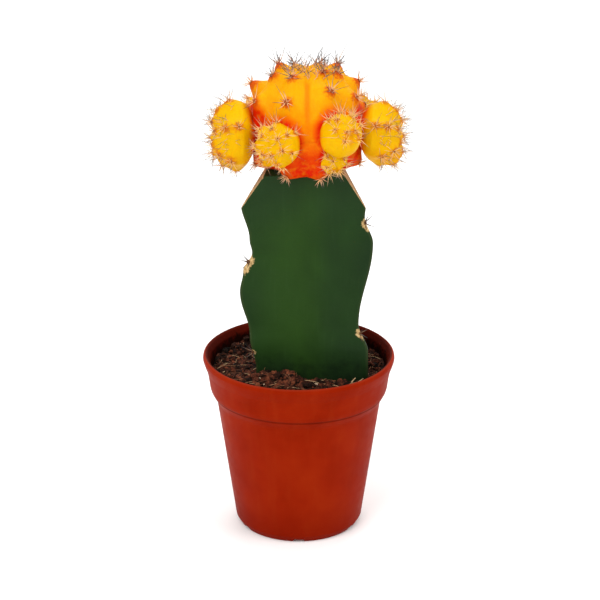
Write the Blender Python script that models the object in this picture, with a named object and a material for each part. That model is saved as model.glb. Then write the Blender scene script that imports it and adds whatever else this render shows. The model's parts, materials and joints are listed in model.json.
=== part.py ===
"""A potted moon cactus: a ribbed orange scion with small offsets, grafted on a
three-ribbed green rootstock that stands in potting mix in a plastic nursery pot.

The origin is the middle of the pot's underside, +Z is up, and the face of the
rootstock between two of its ribs looks along -Y. Lengths are in metres.
"""

import math
import random

import bmesh
import bpy
from mathutils import Matrix, Vector, noise
from mathutils.bvhtree import BVHTree

MM = 0.001
GAP = 0.3 * MM  # between pieces that rest against each other
STOCK_GROWTH = 1.3 * GAP  # of the cutters that leave room for a neighbour, whose
SEAT_GROWTH = 1.2 * GAP  # coarse faces stand closer than their corners

# Pot: its outer and inner outline as radius and height in millimetres, from the middle
# of the underside up over the lip, and down again to the middle of the floor
TURN_STEPS = 48
POT_HEIGHT = 52.2 * MM
POT_FLOOR = 1.5 * MM
POT_OUTSIDE = (
    (0, 0), (16.9, 0), (17.9, 0.6), (18.35, 1.7), (23.6, 38.0), (23.9, 39.0), (25.2, 41.1),
    (25.6, 42.4), (26.0, 45.4), (26.45, 47.6), (27.1, 49.3), (27.6, 50.9), (27.2, 51.9), (26.5, 52.2),
)
POT_INSIDE = (
    (25.7, 51.8), (25.3, 50.6), (24.75, 42.8), (22.75, 38.9), (17.45, 2.6), (16.3, 1.5), (0, 1.5),
)
DRAIN_COUNT = 6
DRAIN_RADIUS = 1.9 * MM
DRAIN_RING = 11.5 * MM
NOTCH_RING = 18.4 * MM
NOTCH_DEPTH = 4 * MM
NOTCH_WIDTH = 3.2 * MM
NOTCH_RISE = 0.9 * MM

# Potting mix
SOIL_LEVEL = 47.6 * MM
SOIL_EDGE = 24.8 * MM
SOIL_RINGS = (1.0, 0.9, 0.8, 0.69, 0.58, 0.46, 0.32, 0.16)
SOIL_HEAP = {"x": -8 * MM, "y": -12 * MM, "rise": 2.8 * MM, "spread": 9 * MM}
SOIL_NOISE = ((5.2 * MM, 1.5 * MM, 0.0), (2.3 * MM, 0.8 * MM, 1 * MM))  # size, height, shift

# Rootstock
STOCK_AXIS_X = 2.3 * MM
STOCK_TOP = 110.9 * MM
STOCK_DOME = 7.5  # fall of the cut top per metre of radius squared
STOCK_FACE = 9.9 * MM  # from the axis to a flat face
STOCK_SEGMENTS = 30
STOCK_LEVELS = (  # heights of the outlines in millimetres, close where a margin steps
    20, 34, 46, 50, 53, 56.5, 59, 61.5, 64, 67, 71, 74, 76, 78.5, 81, 83.5, 86, 89.5,
    92, 94.5, 96.7, 99, 101, 103, 105, 107, 109,
)
STOCK_CROWN = (1.0, 0.55)  # rings of the domed top, as shares of the outline
EDGE_SHARPNESS = 16
RIB_REACH = 8  # how tightly a margin's waves keep to its rib
# For each rib its direction, the waves of its margin as heights and radii, the
# heights of its areoles, and the sloping cut at its top: radius and height at its
# outer and inner end, and the azimuth and tilt of the line across it. In millimetres
# and degrees.
STOCK_RIBS = (
    {
        "degrees": 210,
        "margin": (
            (20, 13.5), (50, 16.6), (61, 18.6), (75, 21.7), (81, 20.6), (86, 17.7), (90, 18.5),
            (102, 21.3),
        ),
        "areoles": (83.6, 56.0),
        "cut": ((20.2, 101.0), (13.5, 109.1)),
        "across": (90, -15),
    },
    {
        "degrees": 330,
        "margin": (
            (20, 13.5), (50, 20.1), (56.5, 20.0), (64, 16.9), (89.5, 21.3), (96.7, 18.6), (101, 19.0),
            (112, 18.6),
        ),
        "areoles": (95.2, 61.5),
        "cut": ((17.6, 101.2), (11.8, 109.0)),
        "across": (90, -15),
    },
    {
        "degrees": 90,
        "margin": ((20, 13.5), (50, 16.5), (66, 21.0), (75, 17.6), (100, 20.6), (112, 20.8)),
        "areoles": (72.4,),
        "cut": ((20.6, 100.6), (15.0, 109.0)),
        "across": (0, 0),
    },
)

# Scion: its shape about its own centre, and its areoles, each on a tubercle, as
# azimuth, latitude and the tubercle's height as a share of the usual one. A bulge is
# azimuth, latitude, height and width, in degrees and millimetres.
SCION_CENTRE = Vector((2.3, 0.0, 120.6)) * MM
SCION = {
    "ribs": 8,
    "segments": 48,
    "rings": 26,
    "radius": 15.9 * MM,
    "upper": 16.6 * MM,
    "lower": 12.6 * MM,
    "square_upper": 2.4,
    "square_lower": 3.4,
    "crest": 1.6,  # how narrow the tops of the ribs are
    "furrow": 0.06,
    "furrow_lift": 0.06,
    "tubercle": 2.0 * MM,
    "tubercle_width": 2.1 * MM,
    "dimple": 0.4 * MM,
    "dimple_width": 4.0 * MM,
    "areoles": (
        (322, 71, 0.6), (302, 47, 0.8), (297, 20, 0.8), (286, -38, 0.7),
        (338, 60, 0.9), (335, 34, 0.8), (336, 8, 0.8), (335, -28, 0.8),
        (27, 60, 1.2), (16, 38, 1.2), (20, 14, 0.9), (22, -24, 0.9),
        (66, 62, 0.3), (68, 40, 1.0), (68, 14, 0.9), (68, -24, 0.9),
        (113, 60, 0.3), (112, 36, 1.0), (112, 10, 0.9), (112, -28, 0.9),
        (154, 62, 1.3), (163, 34, 1.6), (158, 12, 0.9), (158, -24, 0.9),
        (200, 57, 0.9), (203, 30, 0.8), (203, 4, 0.8), (205, -30, 0.8),
        (241, 63, 0.8), (247, 37, 0.8), (245, 10, 0.8), (247, -35, 0.7),
    ),
    "bulges": ((158, 51, -1.2, 3.2), (270, -42, 1.0, 3.5)),
    "crown_spines": 5,
    "crown_share": 1.5,  # length of the crown's spines as a share of the others'
}
SCION_SPINES = {"count": 5, "length": 4.8 * MM, "width": 0.42 * MM}

# Offsets. The lengths of the shape are shares of an offset's radius or height, and its
# rows of areoles are latitudes, rib by rib. Each offset stands on the scion at an
# azimuth, from the front towards +X, and a height and distance from its axis, and grows
# towards its own azimuth and tilt. A size is radius, upper and lower height. The low
# front one gives way to the offset above it.
OFFSET_SHAPE = {
    "ribs": 7,
    "turned": 0,
    "rows": ((58, 30, 2), (46, 18)),
    "segments": 24,
    "rings": 12,
    "square_upper": 2.2,
    "square_lower": 2.1,
    "crest": 1.5,
    "furrow": 0.06,
    "furrow_lift": 0.0,
    "tubercle": 0.13,
    "tubercle_width": 0.2,
    "dimple": 0.06,
    "dimple_width": 0.3,
    "crown_spines": 2,
    "crown_share": 1.2,
}
SIX_RIBS = {"ribs": 6, "turned": 30, "rows": ((64, 40, 16), (54, 28, 4)), "square_lower": 1.7}
CUP = {"rows": ((60, 36), (48,))}
FLAT = {"rows": ((50, 20), (34,))}
OFFSETS = {
    "offset_front_left": {"at": (-27, 120.2, 18.0), "grows": (-29, 18), "size": (6.0, 5.2, 6.8)},
    "offset_front_right": {
        "at": (31, 123.0, 18.0), "grows": (30, 52), "size": (5.8, 5.2, 6.8), "shape": CUP,
    },
    "offset_left": {
        "at": (-77, 119.4, 19.3), "grows": (-84, 1), "size": (9.5, 7.2, 5.0), "shape": SIX_RIBS,
    },
    "offset_right": {
        "at": (77, 120.0, 19.7), "grows": (82, 1), "size": (8.4, 6.8, 5.4), "shape": SIX_RIBS,
        "bulges": ((270, 38, 1.5, 3.0),),
    },
    "offset_low_front": {
        "at": (29, 115.0, 15.0), "grows": (27, -14), "size": (4.0, 2.6, 4.0),
        "shape": FLAT, "under": "offset_front_right",
    },
    "offset_back_right": {"at": (130, 118.0, 19.0), "grows": (132, 34), "size": (6.4, 6.6, 7.5)},
    "offset_back_left": {"at": (-138, 118.6, 18.8), "grows": (-138, 40), "size": (6.0, 6.2, 7.5)},
    "offset_back": {"at": (179, 114.6, 17.0), "grows": (178, -8), "size": (4.6, 3.6, 5.0)},
}
OFFSET_SPINES = {"count": 2, "length": 3.0 * MM, "width": 0.36 * MM}

# Spines
SPINE_ROOT = 0.6 * MM  # sunk into the flesh
SPINE_RING = 0.45 * MM  # from an areole's middle to its spines
SPINE_CLEARANCE = 0.45 * MM
AREOLE_CLEARANCE = 1.5 * MM  # nearer to a neighbour than this, an areole has no spines
SPINE_SAMPLES = 7
SPINE_TILT = (30, 55)  # from the flesh's own direction, in degrees
SPINE_TURN = 0.25  # loose turn of a spine about its areole, in radians
SPINE_LENGTHS = (0.75, 1.15)  # shares of the usual length
CROWN = {"count": 3, "start": 30, "latitude": 80}
STOCK_SPINES = {"count": 4, "length": 2.6 * MM, "width": 0.5 * MM}

COLOURS = {
    "terracotta_plastic": ((0.42, 0.055, 0.022), 0.38),
    "potting_mix": ((0.045, 0.020, 0.012), 0.95),
    "rootstock_skin": ((0.025, 0.085, 0.022), 0.5),
    "scion_flesh": ((0.90, 0.30, 0.010), 0.42),
    "offset_flesh": ((0.92, 0.52, 0.012), 0.42),
}


# ---------------------------------------------------------------- helpers


def clear_scene():
    for found in list(bpy.data.objects):
        bpy.data.objects.remove(found)


def material(name):
    colour, roughness = COLOURS[name]
    made = bpy.data.materials.new(name)
    made.use_nodes = True
    shader = made.node_tree.nodes["Principled BSDF"]
    shader.inputs["Base Color"].default_value = (*colour, 1.0)
    shader.inputs["Roughness"].default_value = roughness
    shader.inputs["Metallic"].default_value = 0.0
    return made


def object_from(bm, name, place=None):
    """An object holding this bmesh, with its faces pointing out."""
    bmesh.ops.recalc_face_normals(bm, faces=bm.faces)
    mesh = bpy.data.meshes.new(name)
    bm.to_mesh(mesh)
    bm.free()
    made = bpy.data.objects.new(name, mesh)
    if place is not None:
        made.matrix_world = place
    bpy.context.scene.collection.objects.link(made)
    return made


def boolean(target, other, operation, solver="EXACT"):
    """Applies one Boolean with an object or a collection, then removes what it used."""
    modifier = target.modifiers.new(operation.title(), "BOOLEAN")
    modifier.operation = operation
    modifier.solver = solver
    if isinstance(other, bpy.types.Collection):
        modifier.operand_type = "COLLECTION"
        modifier.collection = other
        used = list(other.objects)
    else:
        modifier.object = other
        used = [other]
    bpy.context.view_layer.update()
    graph = bpy.context.evaluated_depsgraph_get()
    mesh = bpy.data.meshes.new_from_object(target.evaluated_get(graph))
    target.modifiers.clear()
    target.data = mesh
    mesh.name = target.name
    for found in used:
        bpy.data.objects.remove(found)
    if isinstance(other, bpy.types.Collection):
        bpy.data.collections.remove(other)


def drop_scraps(made):
    """Keeps only the largest of the separate bodies that a cut left."""
    bm = bmesh.new()
    bm.from_mesh(made.data)
    islands = []
    unseen = set(bm.verts)
    while unseen:
        island = {unseen.pop()}
        edge_of_search = set(island)
        while edge_of_search:
            linked = {edge.other_vert(v) for v in edge_of_search for edge in v.link_edges}
            edge_of_search = linked & unseen
            unseen -= edge_of_search
            island |= edge_of_search
        islands.append(island)
    islands.sort(key=len)
    scraps = [vert for island in islands[:-1] for vert in island]
    bmesh.ops.delete(bm, geom=scraps, context="VERTS")
    bm.to_mesh(made.data)
    bm.free()


def finish(made, material_name):
    made.data.materials.clear()
    made.data.materials.append(material(material_name))
    made.data.shade_smooth()
    made.data.set_sharp_from_angle(angle=math.radians(50))
    return made


def tree_of(made):
    """A search tree of an object's faces, in world space."""
    bm = bmesh.new()
    bm.from_mesh(made.data)
    bm.transform(made.matrix_world)
    tree = BVHTree.FromBMesh(bm)
    bm.free()
    return tree


def eased(points, at):
    """The value at a height, eased between the given (height, value) pairs."""
    if at <= points[0][0]:
        return points[0][1]
    for (low, first), (high, second) in zip(points, points[1:]):
        if at <= high:
            share = (at - low) / (high - low)
            return first + (second - first) * (0.5 - 0.5 * math.cos(math.pi * share))
    return points[-1][1]


def turned(profile, name):
    """A closed profile from axis to axis, turned about Z."""
    bm = bmesh.new()
    rim = [bm.verts.new((radius, 0.0, height)) for radius, height in profile]
    edges = [bm.edges.new(pair) for pair in zip(rim, rim[1:])]
    bmesh.ops.spin(
        bm,
        geom=rim + edges,
        axis=(0, 0, 1),
        cent=(0, 0, 0),
        steps=TURN_STEPS,
        angle=math.tau,
        use_merge=True,
    )
    bmesh.ops.remove_doubles(bm, verts=bm.verts, dist=0.001 * MM)
    return object_from(bm, name)


# -------------------------------------------------------------------- pot


def make_pot():
    pot = turned([(radius * MM, height * MM) for radius, height in POT_OUTSIDE + POT_INSIDE], "pot")
    cutters = bpy.data.collections.new("drains")
    bpy.context.scene.collection.children.link(cutters)
    for k in range(DRAIN_COUNT):
        turn = Matrix.Rotation(math.tau * k / DRAIN_COUNT, 4, "Z")
        bm = bmesh.new()
        bmesh.ops.create_cone(
            bm,
            cap_ends=True,
            segments=12,
            radius1=DRAIN_RADIUS,
            radius2=DRAIN_RADIUS,
            depth=4 * POT_FLOOR,
        )
        hole = object_from(bm, f"drain_{k}", turn @ Matrix.Translation((DRAIN_RING, 0, 0)))
        # A shallow notch lets the water out under the wall, between two holes.
        half_turn = Matrix.Rotation(math.tau * (k + 0.5) / DRAIN_COUNT, 4, "Z")
        bm = bmesh.new()
        bmesh.ops.create_cube(bm, size=1.0)
        bmesh.ops.scale(bm, verts=bm.verts, vec=(NOTCH_DEPTH, NOTCH_WIDTH, 2 * NOTCH_RISE))
        notch = object_from(bm, f"notch_{k}", half_turn @ Matrix.Translation((NOTCH_RING, 0, 0)))
        for cutter in (hole, notch):
            bpy.context.scene.collection.objects.unlink(cutter)
            cutters.objects.link(cutter)
    boolean(pot, cutters, "DIFFERENCE")
    return finish(pot, "terracotta_plastic")


# -------------------------------------------------------------- rootstock


def margin_share(rib, height):
    """How far a rib's margin lies outside (+) or inside (-) the plain corner."""
    plain = 2 * STOCK_FACE * 2 ** (-1 / EDGE_SHARPNESS)
    return eased(rib["margin"], height / MM) * MM / plain - 1


def stock_radius(angle, height, grow):
    """The rootstock's outline: three flat faces that meet in rounded, wavy ribs."""
    total = 0.0
    for rib in STOCK_RIBS:
        toward_face = math.cos(angle - math.radians(rib["degrees"] + 180))
        total += max(0.0, toward_face / (STOCK_FACE + grow)) ** EDGE_SHARPNESS
    radius = total ** (-1 / EDGE_SHARPNESS)
    for rib in STOCK_RIBS:
        toward_rib = max(0.0, math.cos(angle - math.radians(rib["degrees"])))
        radius *= 1 + margin_share(rib, height) * toward_rib**RIB_REACH
    return radius


def rib_point(rib, radius, height):
    angle = math.radians(rib["degrees"])
    return Vector((STOCK_AXIS_X + radius * math.cos(angle), radius * math.sin(angle), height))


def cut_plane(rib, grow):
    """A point on the plane of a rib's sloping cut, and the direction it faces."""
    outer, inner = (rib_point(rib, radius * MM, height * MM) for radius, height in rib["cut"])
    outward = (inner - outer).cross(unit(*rib["across"])).normalized()
    if outward.z < 0:
        outward.negate()
    return outer + outward * grow, outward


def make_stock(name, grow=0.0):
    """The rootstock, or a cutter that is larger by grow on every side."""
    levels = [height * MM for height in STOCK_LEVELS]
    levels[0] -= grow
    bm = bmesh.new()
    ring = bmesh.ops.create_circle(bm, segments=STOCK_SEGMENTS, radius=1.0)["verts"]
    edges = list({edge for vert in ring for edge in vert.link_edges})
    for _ in range(len(levels) + len(STOCK_CROWN) - 1):
        made = bmesh.ops.extrude_edge_only(bm, edges=edges)["geom"]
        ring = [item for item in made if isinstance(item, bmesh.types.BMVert)]
        edges = [item for item in made if isinstance(item, bmesh.types.BMEdge)]
        bmesh.ops.translate(bm, verts=ring, vec=(0, 0, 1))
    for vert in bm.verts:
        level = round(vert.co.z)
        angle = math.atan2(vert.co.y, vert.co.x)
        height = levels[min(level, len(levels) - 1)]
        radius = stock_radius(angle, height, grow)
        if level >= len(levels):
            radius *= STOCK_CROWN[level - len(levels)]
            height = STOCK_TOP + grow - STOCK_DOME * radius**2
        vert.co = (STOCK_AXIS_X + radius * math.cos(angle), radius * math.sin(angle), height)
    bmesh.ops.holes_fill(bm, edges=bm.edges)
    middle = [face for face in bm.faces if len(face.verts) == STOCK_SEGMENTS]
    bmesh.ops.poke(bm, faces=middle)
    for rib in STOCK_RIBS:
        point, outward = cut_plane(rib, grow)
        cut = bmesh.ops.bisect_plane(
            bm,
            geom=bm.verts[:] + bm.edges[:] + bm.faces[:],
            plane_co=point,
            plane_no=outward,
            clear_outer=True,
        )
        rim = [item for item in cut["geom_cut"] if isinstance(item, bmesh.types.BMEdge)]
        bmesh.ops.edgeloop_fill(bm, edges=rim)
    bmesh.ops.triangulate(bm, faces=bm.faces)
    return object_from(bm, name)


# ------------------------------------------------------------------- soil


def soil_height(x, y):
    """The potting mix: heaped at the front left, with lumps all over."""
    heap = SOIL_HEAP
    apart = (x - heap["x"]) ** 2 + (y - heap["y"]) ** 2
    height = SOIL_LEVEL + heap["rise"] * math.exp(-apart / heap["spread"] ** 2)
    for size, rise, shift in SOIL_NOISE:
        height += noise.noise(Vector((x, y, shift)) / size) * rise
    return height


def make_soil():
    side = [(radius * MM - GAP, height * MM) for radius, height in reversed(POT_INSIDE[2:-1])]
    side = [(0.0, POT_FLOOR + GAP), (side[0][0], POT_FLOOR + GAP), *side[1:]]
    top = [(SOIL_EDGE * share, POT_HEIGHT) for share in (*SOIL_RINGS, 0.0)]
    soil = turned(side + top, "soil")
    for vert in soil.data.vertices:
        if vert.co.z > POT_HEIGHT - GAP:
            vert.co.z = soil_height(vert.co.x, vert.co.y)
    return soil


# ------------------------------------------------------- scion and offsets


def unit(azimuth, latitude):
    a, b = math.radians(azimuth), math.radians(latitude)
    return Vector((math.cos(b) * math.cos(a), math.cos(b) * math.sin(a), math.sin(b)))


def globe_point(shape, direction, grow=0.0):
    """Where the surface of a ribbed globe lies in this direction from its centre."""
    flat = math.hypot(direction.x, direction.y)
    azimuth = math.atan2(direction.y, direction.x) + math.pi / 2 - math.radians(shape["turned"])
    crest = abs(math.sin(azimuth * shape["ribs"] / 2)) ** shape["crest"]
    above = direction.z >= 0
    square = shape["square_upper"] if above else shape["square_lower"]
    lower = shape["lower"] * (1 - shape["furrow_lift"] * (1 - crest))
    half = shape["upper"] if above else lower
    reach = ((flat / shape["radius"]) ** square + (abs(direction.z) / half) ** square) ** (-1 / square)
    reach *= 1 - shape["furrow"] * (1 if above else 0.5) * (1 - crest) * math.sqrt(flat)
    for way, rise, width in shape["tubercles"] + shape["bulges"]:
        apart = direction.angle(way) * shape["radius"] / width
        reach += rise * math.exp(-(apart**2))
    if above:
        reach -= shape["dimple"] * math.exp(-((flat * reach / shape["dimple_width"]) ** 2))
    return direction * (reach + grow)


def make_globe(name, shape, place, grow=0.0):
    bm = bmesh.new()
    bmesh.ops.create_uvsphere(
        bm, u_segments=shape["segments"], v_segments=shape["rings"], radius=1.0
    )
    for vert in bm.verts:
        vert.co = globe_point(shape, vert.co.normalized(), grow)
    bmesh.ops.transform(bm, matrix=place, verts=bm.verts)
    return object_from(bm, name)


def bulges_of(spec):
    """Broad swellings and dents, as direction, height and width."""
    return [(unit(a, b), rise * MM, width * MM) for a, b, rise, width in spec.get("bulges", ())]


def scion_shape():
    width = SCION["tubercle_width"]
    tubercles = [(unit(a, b), SCION["tubercle"] * share, width) for a, b, share in SCION["areoles"]]
    return {**SCION, "turned": 0, "tubercles": tubercles, "bulges": bulges_of(SCION)}


def offset_shape(spec):
    shape = {**OFFSET_SHAPE, **spec.get("shape", {})}
    radius, upper, lower = (length * MM for length in spec["size"])
    width = shape["tubercle_width"] * radius
    tubercles = []
    for rib in range(shape["ribs"]):
        azimuth = shape["turned"] - 90 + (rib + 0.5) * 360 / shape["ribs"]
        for latitude in shape["rows"][rib % len(shape["rows"])]:
            tubercles.append((unit(azimuth, latitude), shape["tubercle"] * radius, width))
    return {
        **shape,
        "radius": radius,
        "upper": upper,
        "lower": lower,
        "tubercles": tubercles,
        "bulges": bulges_of(spec),
        "dimple": shape["dimple"] * upper,
        "dimple_width": shape["dimple_width"] * radius,
    }


def offset_place(spec):
    """An offset's centre and the way it grows, as a matrix."""
    azimuth, height, distance = spec["at"]
    out = unit(azimuth - 90, 0)
    centre = Vector((SCION_CENTRE.x, SCION_CENTRE.y, height * MM)) + out * distance * MM
    towards = unit(spec["grows"][0] - 90, spec["grows"][1])
    return Matrix.Translation(centre) @ towards.to_track_quat("Z", "Y").to_matrix().to_4x4()


# ----------------------------------------------------------------- spines


def areole_spines(rng, middle, normal, count, share):
    """The roots and directions of one areole's spines: in a ring, and tilted outwards,
    long ones less than short ones."""
    side = normal.orthogonal().normalized()
    start = rng.uniform(0, math.tau)
    for k in range(count):
        around = start + math.tau * k / count + rng.uniform(-SPINE_TURN, SPINE_TURN)
        turn = Matrix.Rotation(around, 3, normal)
        tilt = math.radians(rng.uniform(*SPINE_TILT)) / share
        across = turn @ side
        way = normal * math.cos(tilt) + across * math.sin(tilt)
        yield middle + across * SPINE_RING, way


def make_spine(name, root, way, spec, length):
    """A three-sided needle, its root sunk into the flesh."""
    bm = bmesh.new()
    whole = length + SPINE_ROOT
    bmesh.ops.create_cone(
        bm, cap_ends=True, segments=3, radius1=spec["width"] / 2, radius2=0.0, depth=whole
    )
    bmesh.ops.translate(bm, verts=bm.verts, vec=(0, 0, whole / 2 - SPINE_ROOT))
    place = Matrix.Translation(root) @ way.to_track_quat("Z", "Y").to_matrix().to_4x4()
    return object_from(bm, name, place)


class SpineField:
    """Keeps the spines of different pieces apart, and out of the other pieces."""

    def __init__(self, trees):
        self.trees = trees
        self.points = {name: [] for name in trees}

    def clear(self, owner, root, tip):
        """Whether a spine's root is well inside its owner and the rest is free of others."""
        foot = root - (tip - root).normalized() * SPINE_ROOT
        near, normal, _, depth = self.trees[owner].find_nearest(foot)
        if (foot - near).dot(normal) > 0 or depth < SPINE_ROOT / 2:
            return False
        samples = [root.lerp(tip, k / (SPINE_SAMPLES - 1)) for k in range(SPINE_SAMPLES)]
        for name, tree in self.trees.items():
            if name != owner and any(tree.find_nearest(p, SPINE_CLEARANCE)[0] for p in samples):
                return False
        for name, taken in self.points.items():
            if name == owner:
                continue
            if any((p - q).length < SPINE_CLEARANCE * 1.6 for p in samples for q in taken):
                return False
        self.points[owner] += samples
        return True


def add_spines(made, roots, spec, field, rng):
    """Fuses spines to a piece. A root is an areole's middle and outward direction, the
    number of its spines, and their length as a share of the usual one."""
    group = bpy.data.collections.new(made.name + "_spines")
    bpy.context.scene.collection.children.link(group)
    for middle, normal, count, share in roots:
        for place, way in areole_spines(rng, middle, normal, count, share):
            length = spec["length"] * share * rng.uniform(*SPINE_LENGTHS)
            root = surface_root(field.trees[made.name], place, normal)
            if root is None or not field.clear(made.name, root, root + way * length):
                continue
            spine = make_spine(f"spine_{len(group.objects)}", root, way, spec, length)
            bpy.context.scene.collection.objects.unlink(spine)
            group.objects.link(spine)
    boolean(made, group, "UNION", solver="MANIFOLD")


def surface_root(tree, expected, outward):
    """The point of the real surface nearest to where an areole should be, if it is there."""
    start = expected + outward * 4 * SPINE_ROOT
    hit = tree.ray_cast(start, -outward, 8 * SPINE_ROOT)[0]
    return hit if hit and (hit - expected).length < SPINE_ROOT else None


def globe_roots(name, shape, place, count, trees):
    """Where an areole's spines stand. An areole that a neighbour covers has none."""
    places = [(globe_point(shape, way), way, count, 1.0) for way, *_ in shape["tubercles"]]
    for k in range(CROWN["count"]):
        way = unit(360 * k / CROWN["count"] + CROWN["start"], CROWN["latitude"])
        places.append((globe_point(shape, way), way, shape["crown_spines"], shape["crown_share"]))
    for point, way, number, share in places:
        outward = (place.to_3x3() @ way).normalized()
        root = surface_root(trees[name], place @ point, outward)
        if root and not any(
            tree.find_nearest(root, AREOLE_CLEARANCE)[0]
            for other, tree in trees.items()
            if other != name
        ):
            yield root, outward, number, share


def stock_roots(tree):
    for rib in STOCK_RIBS:
        outward = unit(rib["degrees"], 0)
        for height in rib["areoles"]:
            radius = stock_radius(math.radians(rib["degrees"]), height * MM, 0.0)
            root = surface_root(tree, rib_point(rib, radius, height * MM), outward)
            if root:
                yield root, outward, STOCK_SPINES["count"], 1.0


# ------------------------------------------------------------------- main


def main():
    clear_scene()
    make_pot()

    stock = make_stock("rootstock")
    soil = make_soil()
    boolean(soil, make_stock("stock_hole", STOCK_GROWTH), "DIFFERENCE")
    finish(soil, "potting_mix")

    shape_of_scion = scion_shape()
    scion_place = Matrix.Translation(SCION_CENTRE)
    scion = make_globe("scion", shape_of_scion, scion_place)
    boolean(scion, make_stock("stock_seat", STOCK_GROWTH), "DIFFERENCE")

    bodies = {"rootstock": stock, "scion": scion}
    shapes = {}
    for name, spec in OFFSETS.items():
        shapes[name] = (offset_shape(spec), offset_place(spec))
        offset = make_globe(name, *shapes[name])
        seat = make_globe("scion_seat", shape_of_scion, scion_place, SEAT_GROWTH)
        boolean(offset, seat, "DIFFERENCE")
        if "under" in spec:
            cover = make_globe("cover", *shapes[spec["under"]], SEAT_GROWTH)
            boolean(offset, cover, "DIFFERENCE")
        drop_scraps(offset)
        bodies[name] = offset

    rng = random.Random(11)
    trees = {name: tree_of(made) for name, made in bodies.items()}
    field = SpineField(trees)
    roots = globe_roots("scion", shape_of_scion, scion_place, SCION_SPINES["count"], trees)
    add_spines(scion, roots, SCION_SPINES, field, rng)
    for name, (shape, place) in shapes.items():
        roots = globe_roots(name, shape, place, OFFSET_SPINES["count"], trees)
        add_spines(bodies[name], roots, OFFSET_SPINES, field, rng)
        finish(bodies[name], "offset_flesh")
    add_spines(stock, stock_roots(trees["rootstock"]), STOCK_SPINES, field, rng)
    finish(scion, "scion_flesh")
    finish(stock, "rootstock_skin")


main()
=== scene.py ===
import json
import math
import random

import bmesh
import bpy
import numpy as np
from mathutils import Matrix, Vector, noise

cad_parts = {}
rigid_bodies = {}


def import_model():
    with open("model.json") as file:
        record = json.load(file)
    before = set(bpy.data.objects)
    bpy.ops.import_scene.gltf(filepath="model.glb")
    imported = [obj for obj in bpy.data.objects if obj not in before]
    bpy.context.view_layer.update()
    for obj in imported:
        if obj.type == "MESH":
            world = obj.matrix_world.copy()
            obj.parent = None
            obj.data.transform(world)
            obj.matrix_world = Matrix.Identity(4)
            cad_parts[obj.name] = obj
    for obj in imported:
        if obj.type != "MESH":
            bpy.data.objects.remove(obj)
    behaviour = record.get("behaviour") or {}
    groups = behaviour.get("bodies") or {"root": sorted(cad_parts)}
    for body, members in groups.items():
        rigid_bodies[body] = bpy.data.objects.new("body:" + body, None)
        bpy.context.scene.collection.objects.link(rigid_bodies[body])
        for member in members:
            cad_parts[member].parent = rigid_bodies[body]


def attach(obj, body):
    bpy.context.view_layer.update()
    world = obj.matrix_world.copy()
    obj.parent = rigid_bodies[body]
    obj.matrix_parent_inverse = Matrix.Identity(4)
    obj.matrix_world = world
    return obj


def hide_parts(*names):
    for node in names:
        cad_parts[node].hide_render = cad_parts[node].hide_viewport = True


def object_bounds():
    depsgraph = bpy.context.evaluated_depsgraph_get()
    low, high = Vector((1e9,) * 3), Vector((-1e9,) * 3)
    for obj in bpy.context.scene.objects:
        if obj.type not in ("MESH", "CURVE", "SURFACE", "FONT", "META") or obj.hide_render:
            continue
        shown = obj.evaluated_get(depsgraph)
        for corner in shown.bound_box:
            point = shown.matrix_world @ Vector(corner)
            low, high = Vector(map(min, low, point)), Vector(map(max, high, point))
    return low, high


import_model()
cadBounds = [list(corner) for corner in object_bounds()]

mm = 0.001
up = Vector((0, 0, 1))
seed = 23
noise.seed_set(seed)  # for the lumps' shapes


def tone(hexText):  # a colour typed as in a colour picker, made linear
    parts = [int(hexText[k:k + 2], 16) / 255 for k in (0, 2, 4)]
    linear = [c / 12.92 if c <= 0.04045 else ((c + 0.055) / 1.055) ** 2.4 for c in parts]
    return (*linear, 1.0)


def ease(value, low, high):  # 0 below low, 1 above high, smooth in between
    share = np.clip((value - low) / (high - low), 0, 1)
    return share * share * (3 - 2 * share)


def wave(points, at):  # the value at a height, eased between (height, value) pairs
    if at <= points[0][0]:
        return points[0][1]
    for (low, first), (high, second) in zip(points, points[1:]):
        if at <= high:
            share = (at - low) / (high - low)
            return first + (second - first) * (0.5 - 0.5 * math.cos(math.pi * share))
    return points[-1][1]


def compass(azimuth, latitude):  # degrees to a direction
    a = math.radians(azimuth)
    b = math.radians(latitude)
    return Vector((math.cos(b) * math.cos(a), math.cos(b) * math.sin(a), math.sin(b)))


def meshOf(name, bm):
    mesh = bpy.data.meshes.new(name)
    bm.to_mesh(mesh)
    bm.free()
    return mesh


def inScene(name, data):
    made = bpy.data.objects.new(name, data)
    bpy.context.scene.collection.objects.link(made)
    return made


def meshPiece(name, bm, materials, smooth=True):
    mesh = meshOf(name, bm)
    piece = inScene(name, mesh)
    for material in materials:
        mesh.materials.append(material)
    if smooth:
        mesh.shade_smooth()
    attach(piece, "root")
    return piece


def bevel(bm, geom, affect, offset, segments):
    bmesh.ops.bevel(
        bm,
        geom=geom,
        affect=affect,
        offset=offset * mm,
        segments=segments,
        profile=0.5,
        material=-1,
        clamp_overlap=True,
    )


def spinProfile(points, steps, rounding):  # a rounded profile from axis to axis, turned
    bm = bmesh.new()
    rim = [bm.verts.new((radius * mm, 0, height * mm)) for radius, height in points]
    for pair in zip(rim, rim[1:]):
        bm.edges.new(pair)
    if rounding:
        bevel(bm, rim[1:-1], "VERTICES", rounding, 4)
    line = bm.verts[:] + bm.edges[:]
    bmesh.ops.spin(
        bm, geom=line, axis=up, cent=(0, 0, 0), steps=steps, angle=math.tau, use_merge=True
    )
    bmesh.ops.remove_doubles(bm, verts=bm.verts, dist=0.001 * mm)
    bmesh.ops.recalc_face_normals(bm, faces=bm.faces)
    return bm


def coordsOf(mesh):
    found = np.empty(len(mesh.vertices) * 3)
    mesh.vertices.foreach_get("co", found)
    return found.reshape(-1, 3)


def setCoords(mesh, coords):
    mesh.vertices.foreach_set("co", np.asarray(coords, float).ravel())
    mesh.update()


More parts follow.
